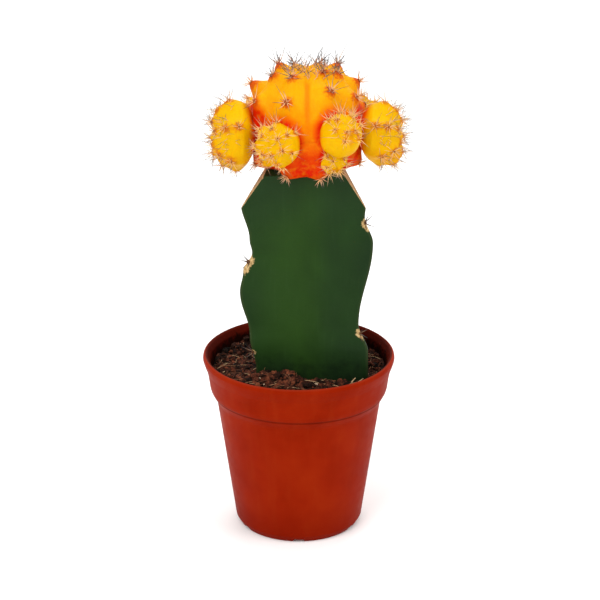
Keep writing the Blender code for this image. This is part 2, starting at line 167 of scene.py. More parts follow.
def paint(mesh, name, values):  # one number for each vertex, for the material to read
    layer = mesh.attributes.new(name, "FLOAT", "POINT")
    layer.data.foreach_set("value", np.asarray(values, np.float32))


def grain(coords, size, shift=0.0):  # smooth noise at every point, about -1 to 1
    return np.array([noise.noise(Vector(p) / size + Vector((shift, 0, 0))) for p in coords])


class Recipe:  # a material being put together
    def __init__(self, name, roughness, specular, **sockets):
        self.material = bpy.data.materials.new(name)
        self.material.use_nodes = True
        self.tree = self.material.node_tree
        self.shader = self.tree.nodes["Principled BSDF"]
        self.shader.inputs["Roughness"].default_value = roughness
        self.shader.inputs["Specular IOR Level"].default_value = specular
        for socket, value in sockets.items():
            self.shader.inputs[socket.replace("_", " ")].default_value = value
        self.place = self.step("ShaderNodeTexCoord", "Object", {})

    def feed(self, socket, value):
        if isinstance(value, bpy.types.NodeSocket):
            self.tree.links.new(value, socket)
        else:
            socket.default_value = tone(value) if isinstance(value, str) else value

    def step(self, kind, output, given, **settings):  # adds a node, fed, and returns an output
        node = self.tree.nodes.new(kind)
        for name, value in settings.items():
            setattr(node, name, value)
        for name, value in given.items():
            self.feed(node.inputs[name], value)
        return node.outputs[output]

    def noise(self, size, detail=4.0, rough=0.55, stretch=None):  # size is in mm
        place = self.place
        if stretch:
            place = self.step("ShaderNodeMapping", "Vector", {"Vector": place, "Scale": stretch})
        given = {"Vector": place, "Scale": 1 / (size * mm), "Detail": detail, "Roughness": rough}
        return self.step("ShaderNodeTexNoise", "Fac", given)

    def painted(self, name):
        return self.step("ShaderNodeAttribute", "Fac", {}, attribute_name=name)

    def span(self, value, low, high, first=0.0, last=1.0):
        given = {"Value": value, "From Min": low, "From Max": high, "To Min": first, "To Max": last}
        return self.step("ShaderNodeMapRange", "Result", given, interpolation_type="SMOOTHSTEP")

    def sums(self, operation, first, second=0.0):
        return self.step("ShaderNodeMath", "Value", {0: first, 1: second}, operation=operation)

    def height(self):  # of the point above the floor, in mm
        metres = self.step("ShaderNodeSeparateXYZ", "Z", {"Vector": self.place})
        return self.sums("MULTIPLY", metres, 1 / mm)

    def ramp(self, value, *stops):
        node = self.tree.nodes.new("ShaderNodeValToRGB")
        marks = node.color_ramp.elements
        while len(marks) < len(stops):
            marks.new(0.5)
        for mark, (position, colour) in zip(marks, stops):
            mark.position = position
            mark.color = tone(colour)
        self.feed(node.inputs["Fac"], value)
        return node.outputs["Color"]

    def blend(self, share, first, second):
        node = self.tree.nodes.new("ShaderNodeMix")
        node.data_type = "RGBA"
        # the node holds sockets of one name for every data type: the colour ones are meant
        low, high = [socket for socket in node.inputs if socket.type == "RGBA"]
        self.feed(node.inputs[0], share)
        self.feed(low, first)
        self.feed(high, second)
        return [socket for socket in node.outputs if socket.type == "RGBA"][0]

    # lays a colour over another, growing to a share of it as a value goes from low to high
    def over(self, colour, top, value, low, high, share=1.0):
        return self.blend(self.span(value, low, high, 0, share), colour, top)

    def finish(self, colour, rough=None, bumps=()):  # bumps are (height, depth in mm)
        normal = {}
        for height, depth in bumps:
            given = {"Height": height, "Distance": depth * mm, **normal}
            normal = {"Normal": self.step("ShaderNodeBump", "Normal", given)}
        given = {"Base Color": colour, **normal}
        if rough:
            given["Roughness"] = rough
        for name, value in given.items():
            self.feed(self.shader.inputs[name], value)
        return self.material


pot = {
    "steps": 192,
    "rounding": 0.35,
    # radius and height, from the middle of the underside up and over the lip
    "outside": (
        (0, 0.5), (15.0, 0.5), (15.6, 0), (17.2, 0), (18.35, 1.9), (23.62, 38.2), (23.9, 39.0),
        (24.85, 40.5), (24.9, 40.9), (25.25, 41.25), (25.6, 42.4), (26.0, 45.4), (26.45, 47.6),
        (27.1, 49.3), (27.6, 50.9), (27.4, 51.8), (26.9, 52.2),
    ),
    "inside": (
        (26.3, 51.8), (25.5, 50.3), (24.75, 42.8), (22.75, 38.9), (17.45, 2.6), (16.3, 1.5), (0, 1.5),
    ),
    "shadedAndSoiledAbove": 2,  # height from which the inside is stained and painted darker as shade
    "sharpAngle": 38,
    "drains": 6,
    "drainRadius": 1.9,
    "drainDepth": 8,
    "drainRing": 11.5,
    "notchLength": 5,
    "notchWidth": 3.2,
    "notchRise": 0.9,
    "notchRing": 18.4,
    "notchRounding": 0.4,
    "plastic": ("7E1702", "871C04", "8E2306"),
    # pale tone for painted sheen streaks down the wall, and for small random flecks
    "faded": "9E4018",
    "edge": "8A3420",
    "lipHighlightFrom": 51.6,  # the top of the lip painted paler: a painted highlight, partly wear
    "lipHighlightTo": 52.2,
    # painted shade: the plastic darkens towards the foot
    "foot": "701002",
    "footShadeFrom": 16,
    # painted shade: a thin dark line in the crease under the collar
    "creaseShade": "4A0A02",
    "creaseShadeHeight": 40.8,
    # painted shade: the darker tone of the inside wall; stain below is soil smears
    "inner": "44120B",
    "stain": "1E0D07",
}


def potPlastic(name, shadedAndSoiled):
    recipe = Recipe(name, 0.48, 0.018, Specular_Tint=(1, 0.6, 0.4, 1))
    broad = recipe.noise(14, 3)
    colour = recipe.ramp(broad, *zip((0.3, 0.5, 0.72), pot["plastic"]))
    # painted sheen: faint pale vertical streaks, then small pale flecks of tone
    drawn = recipe.noise(2.4, 4, 0.6, stretch=(1, 1, 0.08))
    colour = recipe.over(colour, pot["faded"], drawn, 0.45, 0.75, 0.08)
    colour = recipe.over(colour, pot["faded"], recipe.noise(0.5, 2, 0.7), 0.7, 0.78, 0.14)
    height = recipe.height()
    # painted highlight, partly wear, along the top of the lip
    colour = recipe.over(colour, pot["edge"], height, pot["lipHighlightFrom"], pot["lipHighlightTo"], 0.4)
    # painted shade, darker towards the bottom of the pot
    colour = recipe.over(colour, pot["foot"], height, pot["footShadeFrom"], 0, 0.55)
    # painted shade along the crease under the collar
    fromCreaseShade = recipe.sums("ABSOLUTE", recipe.sums("SUBTRACT", height, pot["creaseShadeHeight"]))
    colour = recipe.over(colour, pot["creaseShade"], fromCreaseShade, 0.55, 0.1, 0.55)
    if shadedAndSoiled:
        # painted shade: the inside is a darker copy of the plastic, then stained with soil
        colour = recipe.blend(0.75, colour, pot["inner"])
        smear = recipe.noise(1.6, 6, 0.65, stretch=(1, 1, 0.3))
        depth = recipe.span(height, 51.5, 47.5, -0.14, 0.2)
        colour = recipe.over(colour, pot["stain"], recipe.sums("ADD", smear, depth), 0.42, 0.66, 0.9)
    rough = recipe.span(recipe.noise(3, 5, 0.6), 0.3, 0.7, 0.4, 0.52)
    peel = recipe.noise(0.7, 3)
    scratches = recipe.noise(0.5, 3, 0.6, stretch=(0.25, 0.25, 3))
    return recipe.finish(colour, rough, ((peel, 0.01), (scratches, 0.006), (broad, 0.05)))


def cutAway(piece, cutters):  # takes the cutters out of a piece, then removes them
    folder = bpy.data.collections.new("cutters")
    bpy.context.scene.collection.children.link(folder)
    for bm in cutters:
        folder.objects.link(bpy.data.objects.new("cutter", meshOf("cutter", bm)))
    modifier = piece.modifiers.new("cut", "BOOLEAN")
    modifier.operand_type = "COLLECTION"
    modifier.collection = folder
    bpy.context.view_layer.update()
    graph = bpy.context.evaluated_depsgraph_get()
    piece.data = bpy.data.meshes.new_from_object(piece.evaluated_get(graph))
    piece.modifiers.clear()
    for cutter in list(folder.objects):
        bpy.data.objects.remove(cutter)
    bpy.data.collections.remove(folder)


def makePot():
    bm = spinProfile(pot["outside"] + pot["inside"], pot["steps"], pot["rounding"])
    for face in bm.faces:
        middle = face.calc_center_median()
        outwards = Vector((middle.x, middle.y, 0)).dot(face.normal) > 0
        face.material_index = int(not outwards and pot["shadedAndSoiledAbove"] * mm < middle.z)
    plastics = [potPlastic("potPlastic", False), potPlastic("potInsideShaded", True)]
    shell = meshPiece("potShell", bm, plastics)
    cutters = []
    for k in range(pot["drains"]):
        hole = bmesh.new()
        size = pot["drainRadius"] * mm
        deep = pot["drainDepth"] * mm
        bmesh.ops.create_cone(hole, cap_ends=True, segments=32, radius1=size, radius2=size, depth=deep)
        bmesh.ops.translate(hole, verts=hole.verts, vec=(pot["drainRing"] * mm, 0, 0))
        notch = bmesh.new()
        bmesh.ops.create_cube(notch, size=mm)
        sides = (pot["notchLength"], pot["notchWidth"], 2 * pot["notchRise"])
        bmesh.ops.scale(notch, verts=notch.verts, vec=sides)
        level = [e for e in notch.edges if abs(e.verts[0].co.z - e.verts[1].co.z) < 0.1 * mm]
        bevel(notch, level, "EDGES", pot["notchRounding"], 3)
        bmesh.ops.translate(notch, verts=notch.verts, vec=(pot["notchRing"] * mm, 0, 0))
        for cutter, turns in ((hole, k), (notch, k + 0.5)):
            turn = Matrix.Rotation(math.tau * turns / pot["drains"], 3, "Z")
            bmesh.ops.rotate(cutter, verts=cutter.verts, matrix=turn)
            cutters.append(cutter)
    cutAway(shell, cutters)
    shell.data.shade_smooth()
    shell.data.set_sharp_from_angle(angle=math.radians(pot["sharpAngle"]))
    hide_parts("pot")


makePot()
print("pot made")

soil = {
    "level": 47.6,
    "edge": 24.8,
    "rings": 74,
    "steps": 400,
    # radius and height from the middle of the underside up to the surface's edge
    "side": ((0, 1.8), (16.0, 1.8), (17.1, 2.8), (22.4, 39.0), (24.4, 43.0), (24.8, 46.4)),
    "heap": (-8, -12, 2.8, 9),  # x, y, rise, spread
    "waves": ((5.2, 1.5, 0), (2.3, 0.8, 1)),  # size, height, shift
    "relief": (1.9, 0.75),  # size and height of the crumbly surface
    "pits": (0.8, 0.12),
    # what lies on the mix: count, sizes and range of tint
    "chunks": (620, (0.35, 1.25), (0.0, 0.8)),
    "crumbs": (1500, (0.2, 0.5), (0.0, 1.0)),
    "grit": (46, (0.25, 0.6), (0.4, 1.0)),
    "lumpsHighest": 51.0,
    "fibresHighest": 51.2,
    "fibres": 260,
    "fibreLength": (1.2, 5.0),
    "fibreWidth": (0.05, 0.14),
    # long straws at the right, in front of the rootstock: x, y, azimuth, length, bow
    "straws": ((11.5, -16.5, 52, 9.0, -0.35), (12.8, -18.2, 38, 8.5, 0.22), (15.0, -13.0, 75, 6.0, -0.3)),
    "strawWidth": 0.22,
    "browns": ("100805", "27140C", "4E2618", "774029"),
    "speck": "8A6A50",
    "gritTones": ("7A5C45", "B49A80", "D6C7AE"),
    "fibreTones": ("4A2A1A", "80583C", "B89872"),
}


def soilHeight(x, y):  # in mm
    heapX, heapY, rise, spread = soil["heap"]
    heap = rise * math.exp(-((x - heapX) ** 2 + (y - heapY) ** 2) / spread**2)
    height = soil["level"] + heap
    for size, rise, shift in soil["waves"]:
        height += noise.noise(Vector((x, y, shift)) / size) * rise
    return height


def soilMaterial(name, speckled):
    recipe = Recipe(name, 0.95, 0.12)
    tint = recipe.painted("tint")
    grains = recipe.noise(0.9, 6, 0.7)
    mixed = recipe.sums("ADD", tint, recipe.span(grains, 0.25, 0.75, -0.28, 0.28))
    colour = recipe.ramp(mixed, *zip((0.1, 0.38, 0.66, 0.95), soil["browns"]))
    if speckled:
        colour = recipe.over(colour, soil["speck"], recipe.noise(0.42, 2, 0.5), 0.70, 0.76, 0.7)
    return recipe.finish(colour, None, ((grains, 0.25), (recipe.noise(0.3, 4, 0.7), 0.1)))


def makeSoilBed():
    edge = soil["edge"]
    rings = soil["rings"]
    surface = [(edge * (1 - (k / rings) ** 1.15), soil["level"]) for k in range(rings)]
    bm = spinProfile([*soil["side"], *surface, (0, soil["level"])], soil["steps"], 0)
    bed = meshPiece("soilBed", bm, [soilMaterial("soilCrumb", True)])
    coords = coordsOf(bed.data)
    reliefSize, reliefHeight = soil["relief"]
    pitSize, pitDepth = soil["pits"]
    relief = np.zeros(len(coords))
    for k, (x, y, z) in enumerate(coords / mm):
        if z < soil["level"] - 0.01:
            continue
        spot = Vector((x, y, 3.7))
        coarse = noise.fractal(spot / reliefSize, 0.9, 2.1, 4, noise_basis="PERLIN_ORIGINAL")
        pits = noise.cell(spot / pitSize) * pitDepth
        relief[k] = coarse
        fade = min(1, (edge - math.hypot(x, y)) / 1.5)
        coords[k][2] = (soilHeight(x, y) + (coarse * reliefHeight + pits) * fade) * mm
    setCoords(bed.data, coords)
    red = ease(-coords[:, 0] / mm, -12, 12) * ease(-coords[:, 1] / mm, -6, 12)
    paint(bed.data, "tint", 0.36 + 0.48 * relief + 0.2 * red)
    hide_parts("soil")


def lumpTemplates(count, subdivisions, roughness):
    made = []
    for k in range(count):
        bm = bmesh.new()
        bmesh.ops.create_icosphere(bm, subdivisions=subdivisions, radius=1)
        for vert in bm.verts:
            shift = noise.noise_vector(vert.co * 1.3 + Vector((k * 7.3, 0, 0)))
            vert.co += shift * roughness
        made.append(meshOf("lump", bm))
    return made


def copyIn(bm, template, tint, layer):  # adds a template, tinted, and returns its points
    start = len(bm.verts)
    bm.from_mesh(template)
    bm.verts.ensure_lookup_table()
    added = bm.verts[start:]
    for vert in added:
        vert[layer] = tint
    return added


def scatter(bm, template, place, tint, layer):
    bmesh.ops.transform(bm, matrix=place, verts=copyIn(bm, template, tint, layer))


def soilSpot(rng, stemClear):  # somewhere on the soil, clear of the rootstock, in mm
    while True:
        reach = soil["edge"] * math.sqrt(rng.random()) * 0.985
        turn = rng.uniform(0, math.tau)
        x = reach * math.cos(turn)
        y = reach * math.sin(turn)
        angle = math.atan2(y, x - stock["axis"])
        if math.hypot(x - stock["axis"], y) > stockRadius(angle, soil["level"]) + stemClear:
            return x, y


def makeSoilLumps(name, count, sizes, tints, templates, material):
    rng = random.Random(seed + count)
    bm = bmesh.new()
    layer = bm.verts.layers.float.new("tint")
    for _ in range(count):
        x, y = soilSpot(rng, sizes[0] * 0.4)
        size = sizes[0] + (sizes[1] - sizes[0]) * rng.random() ** 2.5
        turn = Matrix.Rotation(rng.uniform(0, math.tau), 4, "Z")
        turn @= Matrix.Rotation(rng.uniform(-0.6, 0.6), 4, "X")
        shares = [rng.uniform(*limits) for limits in ((0.8, 1.3), (0.55, 1), (0.4, 0.75))]
        shape = Matrix.Diagonal((*(size * share for share in shares), 1))
        height = min(soilHeight(x, y) + size * rng.uniform(0.0, 0.45), soil["lumpsHighest"])
        place = Matrix.Scale(mm, 4) @ Matrix.Translation((x, y, height)) @ turn @ shape
        red = 0.1 if x < 4 and y < -6 else -0.02
        scatter(bm, rng.choice(templates), place, rng.uniform(*tints) + red, layer)
    meshPiece(name, bm, [material], smooth=False)


def gritMaterial():
    recipe = Recipe("gritPale", 0.85, 0.2)
    colour = recipe.ramp(recipe.noise(0.5, 4), *zip((0.3, 0.55, 0.8), soil["gritTones"]))
    return recipe.finish(colour, None, ((recipe.noise(0.25, 3), 0.08),))


def fibreMaterial():
    recipe = Recipe("fibreTan", 0.8, 0.2)
    colour = recipe.ramp(recipe.painted("tint"), *zip((0.1, 0.5, 0.9), soil["fibreTones"]))
    return recipe.finish(colour, None, ((recipe.noise(0.2, 2, 0.5, stretch=(1, 1, 4)), 0.03),))


def strandTemplate(sides, steps, tip):  # a straight strand up Z, 1 long and 1 in radius
    bm = bmesh.new()
    along = bm.verts.layers.float.new("along")
    ring = bmesh.ops.create_circle(bm, segments=sides, radius=1)["verts"]
    edges = list(dict.fromkeys(edge for vert in ring for edge in vert.link_edges))
    bmesh.ops.contextual_create(bm, geom=edges)
    for k in range(1, steps + 1):
        made = bmesh.ops.extrude_edge_only(bm, edges=edges)["geom"]
        ring = [item for item in made if isinstance(item, bmesh.types.BMVert)]
        edges = [item for item in made if isinstance(item, bmesh.types.BMEdge)]
        share = k / steps
        width = 1 - (1 - tip) * share**1.3
        for vert in ring:
            vert.co = Vector((vert.co.x, vert.co.y, 0)).normalized() * width + up * share
            vert[along] = share
    bmesh.ops.contextual_create(bm, geom=edges)
    bmesh.ops.recalc_face_normals(bm, faces=bm.faces)
    return meshOf("strand", bm)


def addStrand(bm, template, root, way, length, radius, bend, tint, layer):  # all in metres
    side = way.orthogonal().normalized()
    across = way.cross(side)
    for vert in copyIn(bm, template, tint, layer):
        x, y, z = vert.co
        curve = way * (z * length) + bend * (z * z * length)
        vert.co = root + curve + (side * x + across * y) * radius


def makeSoilFibres():
    rng = random.Random(seed + 5)
    template = strandTemplate(5, 7, 0.55)
    bm = bmesh.new()
    layer = bm.verts.layers.float.new("tint")
    for _ in range(soil["fibres"]):
        x, y = soilSpot(rng, 0.6)
        turn = rng.uniform(0, 360)
        way = compass(turn, rng.uniform(-4, 16))
        length = rng.uniform(*soil["fibreLength"])
        end = Vector((x, y, 0)) + way * length
        if end.xy.length > soil["edge"] - 0.8:
            continue
        height = min(soil["fibresHighest"], soilHeight(x, y) + rng.uniform(0.1, 0.6))
        root = Vector((x, y, height))
        bend = compass(turn + 90, 0) * rng.uniform(-0.6, 0.6) - up * rng.uniform(0.05, 0.25)
        width = rng.uniform(*soil["fibreWidth"]) * mm
        addStrand(bm, template, root * mm, way, length * mm, width, bend, rng.random(), layer)
    width = soil["strawWidth"] * mm
    for x, y, turn, length, bow in soil["straws"]:
        root = Vector((x, y, soilHeight(x, y) + 0.9))
        bend = compass(turn + 90, 0) * bow - up * 0.05
        addStrand(bm, template, root * mm, compass(turn, 6), length * mm, width, bend, 0.85, layer)
    meshPiece("soilFibres", bm, [fibreMaterial()])


stock = {
    "axis": 2.3,
    "foot": 30,
    "top": 110.9,
    "dome": 0.0075,  # fall of the top per mm of radius squared
    "face": 9.9,
    "sharpness": 16,
    "ribReach": 8,
    "steps": 288,
    "rings": 180,
    "topRings": 24,
    "insets": ((0.45, 0.12), (0.3, -0.22)),  # width and rise of a cut's edge, then its hollow
    "sharpAngle": 35,
    # for each rib its direction, its margin as heights and radii, its areoles, each as its
    # height and its corky patch's middle, half height and half width, and the
    # slope cut at its top: radius and height at its outer and inner end, and the azimuth
    # and tilt of the line across it
    "ribs": (
        {
            "degrees": 210,
            "margin": (
                (20, 13.5), (50, 16.6), (61, 18.6), (75, 21.7), (81, 20.6), (86, 17.7), (90, 18.5),
                (102, 21.3),
            ),
            "areoles": ((83.6, 82.6, 3.6, 1.7), (56.0, 56.0, 1.4, 1.0)),
            "cut": ((20.2, 101.0), (13.5, 109.1)),
            "across": (90, -9),
        },
        {
            "degrees": 330,
            "margin": (
                (20, 13.5), (50, 20.1), (56.5, 20.0), (64, 16.9), (89.5, 21.3), (96.7, 18.6),
                (101, 19.0), (112, 18.6),
            ),
            "areoles": ((95.2, 94.6, 2.5, 1.4), (61.5, 61.5, 2.2, 1.3)),
            "cut": ((17.6, 101.2), (11.8, 109.0)),
            "across": (90, -7),
        },
        {
            "degrees": 90,
            "margin": ((20, 13.5), (50, 16.5), (66, 21.0), (75, 17.6), (100, 20.6), (112, 20.8)),
            "areoles": ((72.4, 72.0, 2.6, 1.4),),
            "cut": ((20.6, 100.6), (15.0, 109.0)),
            "across": (0, 0),
        },
    ),
    "greens": ("182D10", "1F3811", "274516"),
    # painted shade towards the rib margins
    "dusk": "152816",
    "litBand": "2B4A12",  # painted light: a paler band down the left of the front, where the light falls
    "litBandMiddle": -4,
    "litBandWidth": 7.5,
    "litBandShare": 0.42,
    "upper": "22361F",
    "fleck": "35502A",
    "streak": "35502B",
    "scrape": "55664A",
    "ribLine": "5A5A38",
    "cork": ("7C5C36", "B99A68", "D8C090"),
    "woody": "0C170D",  # painted shade: the foot of the stem darkened near the soil
    "callus": ("7A5A38", "B08D62", "D2B88C"),
    "callusDark": "5A3E26",
}


def stockRadius(angle, height):  # in mm
    total = 0
    for rib in stock["ribs"]:
        towardFace = math.cos(angle - math.radians(rib["degrees"] + 180))
        total += max(0, towardFace / stock["face"]) ** stock["sharpness"]
    radius = total ** (-1 / stock["sharpness"])
    plain = 2 * stock["face"] * 2 ** (-1 / stock["sharpness"])
    for rib in stock["ribs"]:
        towardRib = max(0, math.cos(angle - math.radians(rib["degrees"])))
        radius *= 1 + (wave(rib["margin"], height) / plain - 1) * towardRib ** stock["ribReach"]
    return radius


def stockPoint(degrees, radius, height):  # mm to metres
    angle = math.radians(degrees)
    return Vector((stock["axis"] + radius * math.cos(angle), radius * math.sin(angle), height)) * mm


def skinMaterial():
    recipe = Recipe("rootstockSkin", 0.5, 0.07)
    margin = recipe.painted("margin")
    broad = recipe.noise(15, 3, 0.5, stretch=(1, 1, 0.5))
    colour = recipe.ramp(broad, *zip((0.3, 0.5, 0.74), stock["greens"]))
    # painted shade: the faces darken towards the rib margins, where they turn from the light
    colour = recipe.over(colour, stock["dusk"], margin, 0.6, 0.98, 0.5)
    # painted light: the paler band down the left of the front
    colour = recipe.blend(recipe.painted("litBand"), colour, stock["litBand"])
    colour = recipe.over(colour, stock["upper"], recipe.height(), 88, 108, 0.35)
    colour = recipe.over(colour, stock["fleck"], recipe.noise(0.5, 3, 0.6), 0.6, 0.8, 0.12)
    drawn = recipe.noise(1.1, 3, 0.5, stretch=(1, 1, 0.06))
    colour = recipe.over(colour, stock["streak"], drawn, 0.52, 0.8, 0.08)
    scrapes = recipe.noise(1.5, 5, 0.75, stretch=(1, 1, 0.35))
    colour = recipe.over(colour, stock["scrape"], scrapes, 0.72, 0.8, 0.3)
    colour = recipe.over(colour, stock["ribLine"], margin, 0.9992, 0.9999, 0.12)
    ragged = recipe.span(recipe.noise(0.9, 4, 0.6), 0.25, 0.75, -0.15, 0.15)
    worn = recipe.sums("ADD", recipe.painted("cork"), ragged)
    tan = recipe.ramp(recipe.noise(0.9, 5, 0.7), *zip((0.3, 0.55, 0.75), stock["cork"]))
    colour = recipe.over(colour, tan, worn, 0.18, 0.4)
    # painted shade: the stem darkens towards the soil, with a ragged border
    jitter = recipe.span(recipe.noise(2.4, 5), 0.2, 0.8, -3, 3)
    woody = recipe.sums("ADD", recipe.height(), jitter)
    colour = recipe.over(colour, stock["woody"], woody, 56, 47, 0.6)
    rough = recipe.span(recipe.noise(4, 4), 0.3, 0.7, 0.42, 0.56)
    return recipe.finish(
        colour,
        rough,
        ((recipe.noise(7, 3, 0.5), 0.2), (recipe.noise(0.6, 3), 0.015), (recipe.noise(0.7, 4, 0.7), 0.02)),
    )


def callusMaterial():
    recipe = Recipe("cutCallus", 0.85, 0.15)
    colour = recipe.ramp(recipe.noise(1.1, 6, 0.7), *zip((0.3, 0.5, 0.72), stock["callus"]))
    colour = recipe.over(colour, stock["callusDark"], recipe.noise(0.4, 3), 0.55, 0.75, 0.5)
    return recipe.finish(colour, None, ((recipe.noise(0.9, 5, 0.7), 0.2), (recipe.noise(0.25, 3), 0.05)))


def makeStock():
    top = stock["top"]
    rings = stock["rings"]
    topRings = stock["topRings"]
    foot = stock["foot"]
    plain = 10  # radius before the ribs are drawn out
    shoulder = top - 1.5
    line = [(0, foot)]
    line += [(plain, foot + (shoulder - foot) * k / rings) for k in range(rings + 1)]
    line += [(plain * (1 - k / topRings), top + plain) for k in range(1, topRings + 1)]
    bm = spinProfile(line, stock["steps"], 0)
    for vert in bm.verts:
        x, y, z = vert.co / mm
        flat = math.hypot(x, y)
        if flat < 1e-4 and z < top:
            continue
        angle = math.atan2(y, x)
        height = min(z, shoulder)
        radius = stockRadius(angle, height) * flat / plain
        if z > top:
            height = top - stock["dome"] * radius**2
        vert.co = stockPoint(math.degrees(angle), radius, height)
    for rib in stock["ribs"]:
        (outer, low), (inner, high) = rib["cut"]
        start = stockPoint(rib["degrees"], outer, low)
        slope = stockPoint(rib["degrees"], inner, high) - start
        outward = slope.cross(compass(*rib["across"])).normalized()
        if outward.z < 0:
            outward.negate()
        everything = bm.verts[:] + bm.edges[:] + bm.faces[:]
        cut = bmesh.ops.bisect_plane(
            bm, geom=everything, plane_co=start, plane_no=outward, clear_outer=True
        )
        rim = [item for item in cut["geom_cut"] if isinstance(item, bmesh.types.BMEdge)]
        filled = bmesh.ops.edgeloop_fill(bm, edges=rim, mat_nr=1)["faces"]
        callus = list(filled)
        for width, rise in stock["insets"]:
            made = bmesh.ops.inset_individual(bm, faces=filled, thickness=width * mm, depth=rise * mm)
            callus += made["faces"]
        for face in callus:
            face.material_index = 1
    bmesh.ops.triangulate(bm, faces=[face for face in bm.faces if len(face.verts) > 4])
    column = meshPiece("rootstockColumn", bm, [skinMaterial(), callusMaterial()])
    column.data.set_sharp_from_angle(angle=math.radians(stock["sharpAngle"]))
    coords = coordsOf(column.data) / mm
    angles = np.arctan2(coords[:, 1], coords[:, 0] - stock["axis"])
    radii = np.hypot(coords[:, 1], coords[:, 0] - stock["axis"])
    margin = np.zeros(len(coords))
    cork = np.zeros(len(coords))
    for rib in stock["ribs"]:
        turned = angles - math.radians(rib["degrees"])
        margin = np.maximum(margin, np.cos(turned))
        aside = np.where(np.cos(turned) > 0, radii * np.sin(turned), 99)
        for _, middle, tall, wide in rib["areoles"]:
            cork = np.maximum(cork, 1 - np.hypot((coords[:, 2] - middle) / tall, aside / wide))
    paint(column.data, "margin", margin)
    # painted light: where the paler band lies on the stem
    band = np.exp(-(((coords[:, 0] - stock["litBandMiddle"]) / stock["litBandWidth"]) ** 2))
    band *= ease(-coords[:, 2], -108, -90) * ease(coords[:, 2], 50, 62)
    paint(column.data, "litBand", stock["litBandShare"] * band)
    paint(column.data, "cork", cork)
    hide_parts("rootstock")


scion = {
    "name": "scion",
    "centre": (2.3, 0, 120.6),
    "ribs": 8,
    "turned": 0,
    "segments": 360,
    "rings": 180,
    "radius": 15.9,
    "upper": 16.6,
    "lower": 12.6,
    "squareUpper": 2.4,
    "squareLower": 3.4,
    "crest": 1.6,
    "furrow": 0.06,
    "furrowLift": 0.06,
    "seam": 0.4,
    "redFrom": 136.0,  # the flesh reddens from this height down to the next: partly its own tone, partly painted shade
    "redTo": 109.0,
    "tubercle": 2.0,
    "tubercleWidth": 2.1,
    "dimple": 0.4,
    "dimpleWidth": 4.0,
    "undulation": 0.3,
    # azimuth, latitude and height, as a share of a tubercle's, of every areole
    "areoles": (
        (322, 71, 0.6), (302, 47, 0.8), (297, 20, 0.8), (286, -38, 0.7),
        (338, 60, 0.9), (335, 34, 0.8), (336, 8, 0.8), (335, -28, 0.8),
        (27, 60, 1.2), (16, 38, 1.2), (20, 14, 0.9), (22, -24, 0.9),
        (66, 62, 0.3), (68, 40, 1.0), (68, 14, 0.9), (68, -24, 0.9),
        (113, 60, 0.3), (112, 36, 1.0), (112, 10, 0.9), (112, -28, 0.9),
        (154, 62, 1.3), (163, 34, 1.6), (158, 12, 0.9), (158, -24, 0.9),
        (200, 57, 0.9), (203, 30, 0.8), (203, 4, 0.8), (205, -30, 0.8),
        (241, 63, 0.8), (247, 37, 0.8), (245, 10, 0.8), (247, -35, 0.7),
    ),
    # broad swellings and dents: azimuth, latitude, height and width
    "bulges": ((158, 51, -1.2, 3.2), (270, -42, 1.0, 3.5)),
    "spines": (9, 13),
    "spineLength": (1.8, 4.6),
    "spineWidth": 0.12,
    "dusky": 0.0,
    "padSize": 0.6,
    "crownSpines": 76,
    "crownLength": (3.0, 7.5),
    "crownSpread": 27,
}

offsetShape = {
    "ribs": 7,
    "turned": 0,
    "rows": ((58, 30, 2), (46, 18)),  # latitudes of the areoles, rib by rib
    "segments": 152,
    "rings": 76,
    "squareUpper": 2.2,
    "squareLower": 2.1,
    "crest": 1.5,
    "furrow": 0.06,
    "furrowLift": 0.0,
    "seam": 0.15,
    "undulation": 0.32,
    "spines": (7, 10),
    "spineLength": (1.6, 3.6),
    "spineWidth": 0.09,
    "dusky": 0.0,  # added to the spines' darkening towards the tips
    "padSize": 0.3,
    "crownSpines": 60,
    "crownLength": (1.6, 3.8),
    "crownSpread": 52,
}
sixRibs = {
    "ribs": 6, "turned": 30, "rows": ((64, 40, 16), (54, 28, 4)), "squareLower": 1.7, "crownSpines": 150,
    "crownSpread": 80, "crownLength": (2.0, 5.4), "spineLength": (1.8, 4.6), "dusky": 0.3,
}
cup = {"rows": ((60, 36), (48,)), "crownSpread": 58}
flat = {"rows": ((50, 20), (34,)), "crownSpines": 22}

# each offset stands at an azimuth from the front towards +X, a height and a distance from
# the scion's axis, and grows towards its own azimuth and tilt
offsets = {
    "offset_front_left": {"at": (-27, 120.2, 18.0), "grows": (-29, 18), "size": (6.0, 5.2, 6.8)},
    "offset_front_right": {
        "at": (31, 123.0, 18.0), "grows": (30, 52), "size": (5.8, 5.2, 6.8), "own": cup,
    },
    "offset_left": {
        "at": (-77, 119.4, 19.3), "grows": (-84, 1), "size": (9.5, 7.2, 5.0), "own": sixRibs,
    },
    "offset_right": {
        "at": (77, 120.0, 19.7), "grows": (82, 1), "size": (8.4, 6.8, 5.4), "own": sixRibs,
        "bulges": ((270, 38, 1.5, 3.0),),
    },
    "offset_low_front": {
        "at": (29, 115.0, 15.0), "grows": (27, -14), "size": (4.0, 2.6, 4.0), "own": flat,
    },
    "offset_back_right": {"at": (130, 118.0, 19.0), "grows": (132, 34), "size": (6.4, 6.6, 7.5)},
    "offset_back_left": {"at": (-138, 118.6, 18.8), "grows": (-138, 40), "size": (6.0, 6.2, 7.5)},
    "offset_back": {"at": (179, 114.6, 17.0), "grows": (178, -8), "size": (4.6, 3.6, 5.0)},
}


